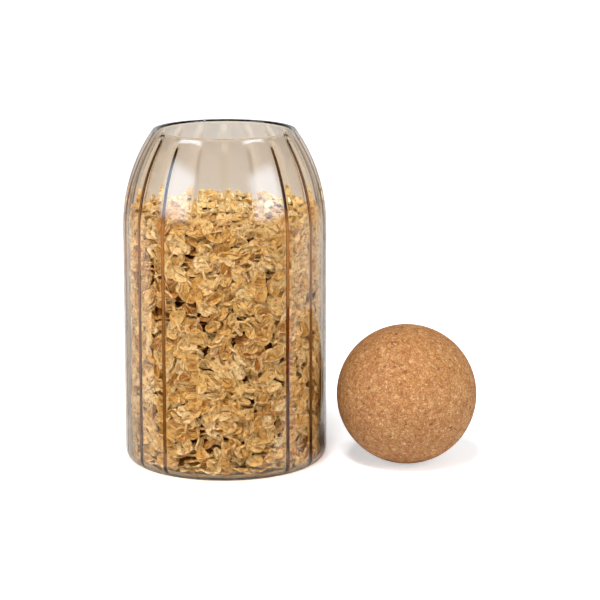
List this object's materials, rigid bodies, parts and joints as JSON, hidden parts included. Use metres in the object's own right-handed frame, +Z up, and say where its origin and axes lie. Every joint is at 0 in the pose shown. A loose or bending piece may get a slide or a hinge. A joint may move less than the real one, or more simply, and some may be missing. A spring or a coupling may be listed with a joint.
{
  "type": "glass storage jar with cork ball lid",
  "caption": "Ribbed tinted glass jar with a rounded shoulder and plain rim, filled with rolled oats, and a cork ball lid lying beside it.",
  "frame": {"origin": "centre of the jar's base, on the table that the jar and the ball lid stand on", "axes": "+Z up along the jar's axis, +X from the jar towards the ball lid lying beside it, the picture is taken from the -Y side"},
  "size_m": [0.1745, 0.1, 0.165],
  "materials": {
    "jar_glass": "polished",
    "rolled_oats": "matte",
    "cork": "matte"
  },
  "bodies": {
    "jar": {"glass_jar": "jar_glass", "oats": "rolled_oats"},
    "lid": {"cork_ball": "cork"}
  },
  "joints": [
    {"name": "lid_swing", "type": "hinge", "parent": "jar", "child": "lid", "pos_m": [0.09, 0, 0.134], "axis": [0, -1, 0], "range_deg": [0, 244.76]}
  ]
}
